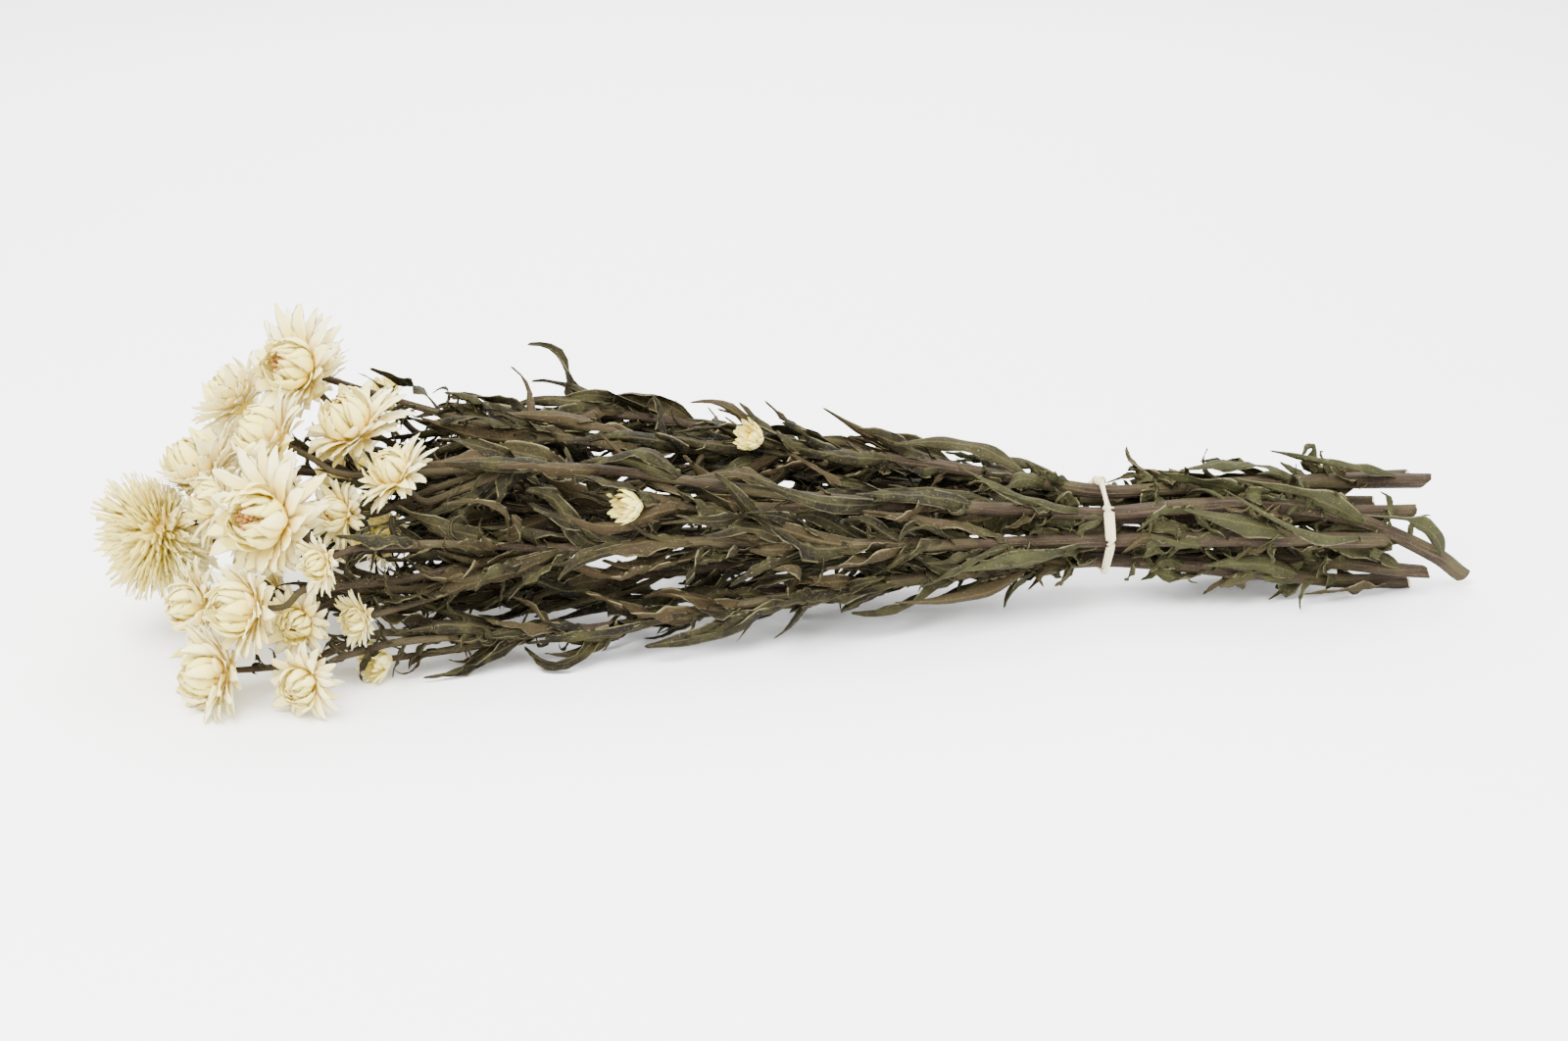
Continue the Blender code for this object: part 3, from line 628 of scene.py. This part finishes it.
def open_bracts(radius, openness, gape, rng):
    """An open head: outer bracts that spread, then a set that closes over the mouth, apart
    from a gape."""
    outer = int(30 + 0.85 * radius)
    spread = np.linspace(0, 1, outer)
    closing = np.linspace(0, 1, 34)
    wide = 0.52 + 0.48 * openness

    def both(outside, inside):
        return np.concatenate([outside, inside])

    q = both(0.5 * spread, 0.5 + 0.5 * closing)
    lean1 = np.radians(both((124 - 50 * spread**1.4) * wide, -38 - 50 * closing**0.7))
    lean1 += rng.normal(0, 0.15, len(q)) * (1.1 - q)
    lean1[outer:] += gape * closing
    return Bracts(q, foot_r=radius * both(0.15 + 0.11 * spread, 0.25 - 0.09 * closing),
                  foot_h=radius * both(-0.44 + 0.16 * spread, -0.28 + 0.04 * closing),
                  length=radius * both(0.62 + 0.36 * np.sin(2.1 * spread**0.8),
                                       0.84 - 0.06 * closing),
                  width=radius * both(0.125 + 0.045 * spread, 0.165 - 0.050 * closing),
                  lean0=np.radians(both((84 - 34 * spread) * wide, 56 - 26 * closing)),
                  lean1=lean1, inner=q)


def bract_rings(name, b, rng):
    """The rings of a head's papery bracts, which stand on a golden-angle spiral. In the
    plane through the head's axis a bract starts at (foot_r, foot_h), and its lean from the
    axis turns from lean0 to lean1 with a power of the way along. Its half width rises as a
    sine and closes to a point. Across, it is cupped by the square of the distance from its
    middle line, with a small crinkle, and is thickest in the middle."""
    count = len(b.q)
    azimuth = np.arange(count) * GOLDEN_ANGLE + rng.normal(0, 0.10, count)
    length = (b.length * rng.normal(1, 0.07, count))[:, None]
    cup = np.where(b.q < 0.5, 0.22, 0.34) * rng.normal(1, 0.3, count)
    t = np.linspace(0.0, 0.97, 8)
    fine = np.linspace(0, 1, 41)
    lean = b.lean0[:, None] + (b.lean1 - b.lean0)[:, None] * fine**1.35
    step = np.diff(fine)[None] * length
    mid = 0.5 * (lean[:, 1:] + lean[:, :-1])
    zero = np.zeros((count, 1))
    r = b.foot_r[:, None] + np.concatenate([zero, np.cumsum(step * np.sin(mid), 1)], 1)
    h = b.foot_h[:, None] + np.concatenate([zero, np.cumsum(step * np.cos(mid), 1)], 1)
    pick = np.round(t * 40).astype(int)
    v = np.array([-1, -0.5, 0, 0.5, 1, 0.5, 0, -0.5])
    under = np.arange(8) > 4
    shape = (0.40 + 0.60 * np.sin(0.5 * np.pi * np.minimum(t / 0.55, 1))) * (1 - t**3.4) ** 0.70
    half = (b.width[:, None] * shape)[..., None]
    noise = rng.normal(0, 1, (count, len(t), 5))[:, :, [0, 1, 2, 3, 4, 3, 2, 1]]
    lift = cup[:, None, None] * half * v**2 + 0.012 * HEADS[name].radius * noise * abs(v)
    lift += np.where(under, -0.11, 0.11) * (abs(v) < 0.99)
    twist = rng.normal(0, 0.16, count)[:, None, None] * t[None, :, None]
    sway = rng.normal(0, 0.10, count)[:, None] * length * t**2
    lift = lift + twist * half * v
    x = half * v + sway[..., None]
    radial = r[:, pick, None] - lift * np.cos(lean[:, pick, None])
    height = h[:, pick, None] + lift * np.sin(lean[:, pick, None])
    axis, side, up = head_axes(name)
    out = circle(side, up, azimuth)
    cross = np.cross(axis, out)
    middle = head_middle(name)
    rings = (middle + axis * height[..., None] + out[:, None, None] * radial[..., None]
             + cross[:, None, None] * x[..., None])
    start = middle + axis * b.foot_h[:, None] + out * b.foot_r[:, None]
    end = (middle + axis * h[:, -1:] + out * r[:, -1:]
           + cross * (sway[:, -1] * 1.05)[:, None])
    return rings, start, end, t, v


def papery_head(name, rng):
    """A flower head's bracts from its base to its mouth, over a closed core. From the
    outside in they grow steeper, until the last lean inwards."""
    radius, openness = HEADS[name].radius, HEADS[name].openness
    bud = openness <= BUD_OPENNESS
    if bud:
        bracts = bud_bracts(radius, openness, rng)
    elif name == POMPON:
        bracts = pompon_bracts(radius, rng)
    else:
        bracts = open_bracts(radius, openness, GAPE if name in TURNED else 0, rng)
    rings, start, end, t, v = bract_rings(name, bracts, rng)
    skin = Skin()
    skin.add(rings, start, end, reach=t[None, :, None], across=v,
             inner=bracts.inner[:, None, None],
             tone=rng.uniform(0, 1, len(rings))[:, None, None])
    core(skin, name)
    made = skin.object("head_" + name + "_bracts", MATERIALS["bract"], name)
    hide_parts("head_" + name)
    if not bud:
        florets(name, rng)


def core(skin, name):
    """The closed heart of a head: rings round its axis that widen from the base and narrow
    again to the mouth."""
    radius = HEADS[name].radius
    axis, side, up = head_axes(name)
    share = np.array([0.10, 0.20, 0.27, 0.30, 0.28, 0.20, 0.1])
    height = np.array([-0.50, -0.48, -0.35, -0.12, 0.02, 0.08, 0.1])
    ring = circle(side, up, angles(20))
    middle = head_middle(name)
    rings = (middle + axis * (height * radius)[:, None, None]
             + ring * (share * radius)[:, None, None])
    skin.add(rings[None], (middle + axis * height[0] * radius)[None],
             (middle + axis * height[-1] * radius)[None], reach=0.12, across=0.0,
             inner=0.6, tone=0.5)


def florets(name, rng):
    """The florets in a head's mouth: small clubs on a golden-angle spiral, longer the
    further they stand from the middle."""
    radius = HEADS[name].radius
    axis, side, up = head_axes(name)
    share = np.sqrt((np.arange(FLORETS) + 0.5) / FLORETS)
    out = circle(side, up, np.arange(FLORETS) * GOLDEN_ANGLE)
    foot = (head_middle(name) + axis * (0.09 - 0.03 * share)[:, None] * radius
            + out * (0.19 * share)[:, None] * radius)
    grow = unit_rows(axis + 0.5 * out * share[:, None] + 0.15 * rng.normal(0, 1, (FLORETS, 3)))
    tall = radius * (0.13 + 0.07 * share) * rng.normal(1, 0.15, FLORETS)
    across = unit_rows(np.cross(grow, side + 0.3))
    ring = circle(across, np.cross(grow, across), angles(6))
    rise = np.array([0.0, 0.55, 0.9])
    thick = radius * np.array([0.020, 0.026, 0.034])
    rings = (foot[:, None, None] + grow[:, None, None] * (tall[:, None] * rise)[..., None, None]
             + ring[:, None] * thick[:, None, None])
    skin = Skin()
    skin.add(rings, foot, foot + grow * tall[:, None], reach=rise[None, :, None],
             tone=rng.uniform(0, 1, FLORETS)[:, None, None])
    made = skin.object("head_" + name + "_florets", MATERIALS["floret"], name)


# Stems with their leaves

def more_leaves(strands, rng):
    """Small shrivelled leaves between the grown ones, on every strand, drawn as
    (stem, shoot, roll). They keep off the heads, the tie and the floor. Near the heads
    they are thin and tightly curled, and near the cut ends they are short."""
    middles, reach = head_balls()
    shoots = []
    for head, (stem, points, radii) in strands.items():
        x = points[0, 0] - (24 if HEADS[head].fork is None else 6)
        stop = points[-1, 0] + 5
        while x > stop:
            short = x > SHORT_BEYOND
            thin = x < THIN_BEFORE or rng.random() < THIN_SHARE
            at, along = spot_on(points, x)
            out = rng.normal(0, 1, 3)
            out = unit(out - along * (out @ along))
            root = points[at] + out * 0.4 * radii[at]
            if thin:
                form = (rng.uniform(8, 20), rng.uniform(1.6, 3.2), rng.uniform(0.2, 0.9),
                        rng.normal(0.3, 1.5), rng.normal(0, 0.7), rng.uniform(0, TURN),
                        rng.normal(0, 3.0))
            else:
                form = (rng.uniform(20, 50) * (0.6 if short else 1), rng.uniform(4.0, 9.0),
                        rng.uniform(0.05, 0.50), rng.normal(0.35, 0.7 if short else 0.45),
                        rng.normal(0, 0.6 if short else 0.42), rng.uniform(0, TURN),
                        rng.normal(0, 2.6))
            shoot = (root, along, out, *form)
            line = curled_path(shoot, CHECK_STATIONS)[0]
            clear_of_heads = (distances(line, middles) - reach).min() > -4.0
            clear_of_tie = not (abs(line[:, 0] - TIE_X) < 3.8).any()
            if clear_of_heads and clear_of_tie and line[:, 2].min() > 1.0:
                shoots.append((stem, shoot, rng.uniform(0.5, 2.5)))
            x -= rng.uniform(1.8, 4.9) * (SPARSER if stem == SPARSE_STEM and not short else 1)
    return shoots


def leafy_stem(stem, strands, leaves, shoots, rng):
    """One piece for the bark of a stem and its branches, and one for all their leaves."""
    bark = Skin()
    for head, (owner, points, radii) in strands.items():
        if owner == stem:
            ribbed_tube(bark, points, radii, rng, cut=HEADS[head].fork is None)
    wood = bark.object("stem_" + stem + "_bark", MATERIALS["bark"])
    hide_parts("stem_" + stem)
    blades = Skin()
    for owner, leaf in leaves:
        if owner == stem:
            roll = rng.uniform(0.2, 0.7) if rng.random() < 0.35 else rng.uniform(1.1, 2.4)
            leaf_blade(blades, leaf_frame, leaf, rng, 18, roll, 1.4)
    for owner, shoot, roll in shoots:
        if owner == stem:
            leaf_blade(blades, curled_path, shoot, rng, 12, roll, 2.2)
    foliage = blades.object("stem_" + stem + "_leaves", MATERIALS["leaf"])


# The tie

def tie_band(strands):
    """A papery strip twisted round the stems: an ellipse carried round the outline of
    their discs and turned over seven times on the way. It is narrower underneath, and
    pressed flat where it would cut into the stems."""
    discs = []
    for head, (_, points, radii) in strands.items():
        if HEADS[head].fork is None:
            for x in (TIE_X - 2, TIE_X, TIE_X + 2):
                values = (points[:, 1], points[:, 2], radii)
                discs.append([np.interp(-x, -points[:, 0], v) for v in values])
    angle = angles(192)
    ray = np.stack([np.cos(angle), np.sin(angle)], 1)
    discs = np.array(discs)
    support = (discs[:, :2] @ ray.T + discs[:, 2:]).max(0) + 1.0
    slope = np.gradient(np.concatenate([support[-1:], support, support[:1]]))[1:-1] / angle[1]
    tangent = np.stack([-ray[:, 1], ray[:, 0]], 1)
    loop = ray * support[:, None] + tangent * slope[:, None]
    ahead = np.roll(loop, -1, 0) - np.roll(loop, 1, 0)
    outward = unit_rows(np.stack([ahead[:, 1], -ahead[:, 0]], 1))
    turn = angles(20)
    roll = (7 * angle + 0.5 * np.sin(3 * angle + 1))[:, None]
    half = 1.75 + 0.35 * np.sin(angle) + 0.15 * np.sin(9 * angle + 1.2)
    wide = half[:, None] * np.cos(turn)
    thick = 0.85 * np.sin(turn) + 0.12 * np.cos(5 * turn)
    x = wide * np.cos(roll) - thick * np.sin(roll)
    lift = np.maximum(wide * np.sin(roll) + thick * np.cos(roll), -0.7)
    yz = loop[:, None] + outward[:, None] * lift[..., None]
    points = np.concatenate([(TIE_X + x)[..., None], yz], -1).reshape(-1, 3)
    ring = np.arange(len(angle))
    faces = quads_between(ring, np.roll(ring, -1), len(turn)).tolist()
    numbers = {"across": np.tile(np.cos(turn), len(angle)), "run": np.repeat(angle, len(turn))}
    made = mesh_object("tie_strip", points, faces, numbers, MATERIALS["tie"])
    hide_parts("tie")


# Materials

class Number:
    """A value in a material that takes Python's arithmetic."""

    def __init__(self, paint, socket):
        self.paint, self.socket = paint, socket

    def math(self, operation, *others):
        node = self.paint.node("ShaderNodeMath", {"operation": operation},
                               dict(enumerate([self, *others])))
        return Number(self.paint, node.outputs[0])

    def __add__(self, other):
        return self.math("ADD", other)

    __radd__ = __add__

    def __mul__(self, other):
        return self.math("MULTIPLY", other)

    __rmul__ = __mul__

    def __sub__(self, other):
        return self.math("SUBTRACT", other)

    def __rsub__(self, other):
        return (self * -1) + other

    def clamped(self):
        return self.math("MAXIMUM", 0.0).math("MINIMUM", 1.0)

    def between(self, low, high):
        """0 below low, 1 above high, straight in between."""
        return ((self - low) * (1.0 / (high - low))).clamped()


class Paint:
    """One procedural material, written as expressions on its own attributes."""

    def __init__(self, name, **fixed):
        self.material = bpy.data.materials.new(name)
        self.material.use_nodes = True
        self.tree = self.material.node_tree
        self.shader = self.tree.nodes["Principled BSDF"]
        for socket, value in fixed.items():
            self.shader.inputs[socket.replace("_", " ")].default_value = value

    def node(self, kind, settings=None, inputs=None):
        made = self.tree.nodes.new(kind)
        for key, value in (settings or {}).items():
            setattr(made, key, value)
        for key, value in (inputs or {}).items():
            if isinstance(value, Number):
                value = value.socket
            if isinstance(value, bpy.types.NodeSocket):
                self.tree.links.new(value, made.inputs[key])
            else:
                made.inputs[key].default_value = value
        return made

    def numbers(self, names):
        """Attributes of the piece at this point."""
        nodes = [self.node("ShaderNodeAttribute", {"attribute_name": n}) for n in names.split()]
        return [Number(self, made.outputs["Fac"]) for made in nodes]

    def place(self):
        return self.node("ShaderNodeTexCoord").outputs["Object"]

    def vector(self, x, y, z):
        return self.node("ShaderNodeCombineXYZ", None, {0: x, 1: y, 2: z}).outputs[0]

    def noise(self, vector, scale, detail, rough=0.55):
        made = self.node("ShaderNodeTexNoise", None, {
            "Vector": vector, "Scale": scale, "Detail": detail, "Roughness": rough})
        return Number(self, made.outputs["Fac"])

    def mix(self, below, above, factor):
        """The colour below, going over to the one above where factor is 1."""
        colours = [c if isinstance(c, bpy.types.NodeSocket) else (*c, 1.0) for c in (below, above)]
        made = self.node("ShaderNodeMix", {"data_type": "RGBA"},
                         {0: factor, 6: colours[0], 7: colours[1]})
        return made.outputs[2]

    def finish(self, colour, roughness, height, depth):
        """Links the colour, the roughness and a bump as deep as depth in metres."""
        bump = self.node("ShaderNodeBump", None, {
            "Height": height, "Distance": depth, "Strength": 1.0})
        for name, socket in (("Base Color", colour), ("Roughness", roughness.socket),
                             ("Normal", bump.outputs[0])):
            self.tree.links.new(socket, self.shader.inputs[name])
        return self.material


def bract_paint():
    """Papery bracts: yellow at the foot, cream above, lengthwise veins, tanned tips, and
    orange tips over the mouth."""
    p = Paint("papery_bract", Subsurface_Weight=0.35, Subsurface_Scale=0.004,
              Subsurface_Radius=(1.0, 0.80, 0.42), Specular_IOR_Level=0.3)
    reach, across, inner, tone = p.numbers("reach across inner tone")
    veins = p.noise(p.vector(across * 2.6, reach * 0.9, tone * 37), 3.4, 4.0)
    blotch = p.noise(p.place(), 220.0, 3.0)
    foot = 1 - (reach + 0.25 * (veins - 0.5) + 0.10 * inner).between(0.06, 0.62)
    cream = p.mix((0.94, 0.79, 0.26), (0.98, 0.91, 0.50), (tone + 0.5 * (blotch - 0.5)).clamped())
    pale = p.mix(cream, (0.97, 0.80, 0.12), inner.between(0.40, 0.60) * 0.75)
    yellow = p.mix(pale, (0.92, 0.58, 0.01), foot * (0.50 + 0.5 * inner))
    tan = (reach.between(0.80, 1.0) * tone.between(0.45, 0.95) * 0.55).clamped()
    mouth = reach.between(0.70, 1.0) * inner.between(0.80, 1.0)
    tipped = p.mix(p.mix(yellow, (0.72, 0.48, 0.20), tan * 0.8), (0.66, 0.30, 0.06), mouth * 0.7)
    old = (1 - inner).between(0.90, 1.0)
    base = p.mix(tipped, (0.55, 0.36, 0.13), old * 0.5)
    lines = p.mix(base, (0.80, 0.60, 0.27), veins.between(0.55, 0.90) * 0.3)
    return p.finish(lines, 0.42 + 0.25 * veins, veins + 0.4 * blotch, 0.00025)


def floret_paint():
    """Dry florets: brown to orange, with pale fluff."""
    p = Paint("dry_floret")
    reach, tone = p.numbers("reach tone")
    fluff = p.noise(p.place(), 900.0, 3.0)
    ripe = (reach * 0.7 + 0.5 * (tone - 0.3)).clamped()
    warm = p.mix((0.30, 0.13, 0.035), (0.62, 0.32, 0.07), ripe)
    return p.finish(p.mix(warm, (0.75, 0.55, 0.25), fluff.between(0.5, 0.75) * 0.5),
                    0.6 + 0.3 * fluff, fluff, 0.0002)


def bark_paint():
    """Dried stem: lengthwise ridges and streaks from brown to olive; pale cut wood."""
    p = Paint("dried_bark", Specular_IOR_Level=0.15)
    run, turn, cut, tone = p.numbers("run turn cut tone")
    streak = p.noise(p.vector(turn * 9.0, run * 0.035, tone * 23), 2.2, 5.0, 0.6)
    ridge = p.noise(p.vector(turn * 14.0, run * 0.018, tone * 51), 2.0, 2.0)
    patch = p.noise(p.place(), 34.0, 3.0)
    speck = p.noise(p.place(), 1500.0, 2.0)
    brown = p.mix((0.012, 0.008, 0.005), (0.048, 0.031, 0.017), streak.between(0.30, 0.72))
    olive = p.mix(brown, (0.060, 0.050, 0.020), patch.between(0.46, 0.62) * 0.65)
    pale = p.mix(olive, (0.12, 0.092, 0.055), ridge.between(0.58, 0.74) * 0.5)
    dusty = p.mix(pale, (0.28, 0.24, 0.18), speck.between(0.6, 0.75) * 0.2)
    grain = p.noise(p.place(), 700.0, 4.0)
    wood = p.mix((0.52, 0.38, 0.20), (0.86, 0.74, 0.52), grain.between(0.3, 0.7))
    return p.finish(p.mix(dusty, wood, cut.between(0.2, 0.8)), 0.6 + 0.3 * streak,
                    ridge + 0.5 * streak + 0.15 * speck, 0.0007)


def leaf_paint():
    """Shrivelled leaf: olive and brown, paler along the midrib and the edges."""
    p = Paint("shrivelled_leaf", Specular_IOR_Level=0.12)
    reach, across, tone, green = p.numbers("reach across tone green")
    side = across.math("ABSOLUTE")
    vein = p.noise(p.vector(side * 1.4 - reach * 3.0, reach * 6.0, tone * 31), 3.0, 4.0)
    patch = p.noise(p.place(), 120.0, 4.0)
    speck = p.noise(p.place(), 1300.0, 2.0)
    dark = p.mix((0.005, 0.004, 0.002), (0.022, 0.017, 0.006), (tone + patch - 0.5).clamped())
    olive = p.mix(dark, (0.032, 0.030, 0.010), patch.between(0.45, 0.65) * 0.75)
    sage = p.mix(olive, (0.042, 0.044, 0.016), green * (0.30 + 0.5 * patch))
    brown = p.mix(sage, (0.034, 0.021, 0.009), tone.between(0.62, 0.92) * 0.7)
    rib = 1 - side.between(0.03, 0.13)
    ribbed = p.mix(brown, (0.080, 0.066, 0.026), rib * 0.45)
    edged = p.mix(ribbed, (0.27, 0.24, 0.12), side.between(0.84, 1.0) * 0.65)
    tinted = p.mix(edged, (0.050, 0.042, 0.016), vein.between(0.55, 0.75) * 0.5)
    return p.finish(p.mix(tinted, (0.24, 0.21, 0.16), speck.between(0.62, 0.74) * 0.3),
                    0.62 + 0.25 * patch, vein + 0.6 * patch + 0.1 * speck, 0.0006)


def tie_paint():
    """A pale fibrous strip with a few dark specks."""
    p = Paint("twisted_strip")
    run, across = p.numbers("run across")
    fibre = p.noise(p.vector(across * 7.0, run * 1.6, 0.0), 2.6, 4.0)
    speck = p.noise(p.place(), 420.0, 2.0)
    cream = p.mix((0.66, 0.53, 0.28), (0.92, 0.84, 0.56), fibre.between(0.3, 0.65))
    dark = p.mix(cream, (0.16, 0.08, 0.04), speck.between(0.70, 0.75))
    return p.finish(dark, 0.5 + 0.3 * fibre, fibre, 0.0005)


# Stage

def stage():
    """A plain pale floor, three soft lamps and the camera of the photograph."""
    mesh = bpy.data.meshes.new("floor")
    far = 3.0
    mesh.from_pydata([(-far, -far, 0), (far, -far, 0), (far, far, 0), (-far, far, 0)], [],
                     [(0, 1, 2, 3)])
    paint = Paint("pale_floor", Roughness=0.9, Base_Color=(0.96, 0.96, 0.96, 1))
    mesh.materials.append(paint.material)
    scene_object("floor", mesh)
    world = bpy.data.worlds.new("studio")
    world.use_nodes = True
    background = world.node_tree.nodes["Background"]
    background.inputs["Color"].default_value = (1, 1, 1, 1)
    background.inputs["Strength"].default_value = 2.4
    bpy.context.scene.world = world
    # Each lamp: name, place, size and power in watts
    lamps = [("key", (-0.5, -0.7, 1.3), 1.0, 82), ("fill", (0.9, -0.9, 0.9), 1.2, 18),
             ("back", (0.1, 1.0, 1.0), 1.2, 34)]
    for name, place, size, power in lamps:
        light = bpy.data.lights.new(name, "AREA")
        light.size = size
        light.energy = power
        lamp = scene_object(name, light)
        lamp.location = place
        aim = Vector((0, 0, 0.03)) - Vector(place)
        lamp.rotation_euler = aim.to_track_quat("-Z", "Y").to_euler()
    swing, height, distance = math.radians(-8), math.radians(20), 1.123
    target = np.array([0, 0, 0.036]) + SHIFT * MM
    back = np.array([math.sin(swing) * math.cos(height), -math.cos(swing) * math.cos(height),
                     math.sin(height)])
    camera = scene_object("camera", bpy.data.cameras.new("camera"))
    camera.data.lens = 70
    camera.data.sensor_width = 36
    camera.location = target + back * distance
    camera.rotation_euler = Vector(-back).to_track_quat("-Z", "Y").to_euler()
    bpy.context.scene.camera = camera


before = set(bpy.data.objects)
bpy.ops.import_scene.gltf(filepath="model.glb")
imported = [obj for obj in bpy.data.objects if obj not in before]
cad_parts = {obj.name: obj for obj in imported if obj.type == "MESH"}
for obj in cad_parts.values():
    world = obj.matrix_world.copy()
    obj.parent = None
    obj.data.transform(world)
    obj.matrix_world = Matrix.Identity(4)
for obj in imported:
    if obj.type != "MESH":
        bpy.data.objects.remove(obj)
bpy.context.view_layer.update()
MATERIALS = {"bract": bract_paint(), "floret": floret_paint(), "bark": bark_paint(),
             "leaf": leaf_paint(), "tie": tie_paint()}
strands = layout()
leaves = grow_leaves(strands, np.random.default_rng(SEED))
detail = np.random.default_rng(DETAIL_SEED)
shoots = more_leaves(strands, detail)
for letter in STEMS:
    leafy_stem(letter, strands, leaves, shoots, detail)
for number in HEADS:
    papery_head(number, detail)
tie_band(strands)
stage()
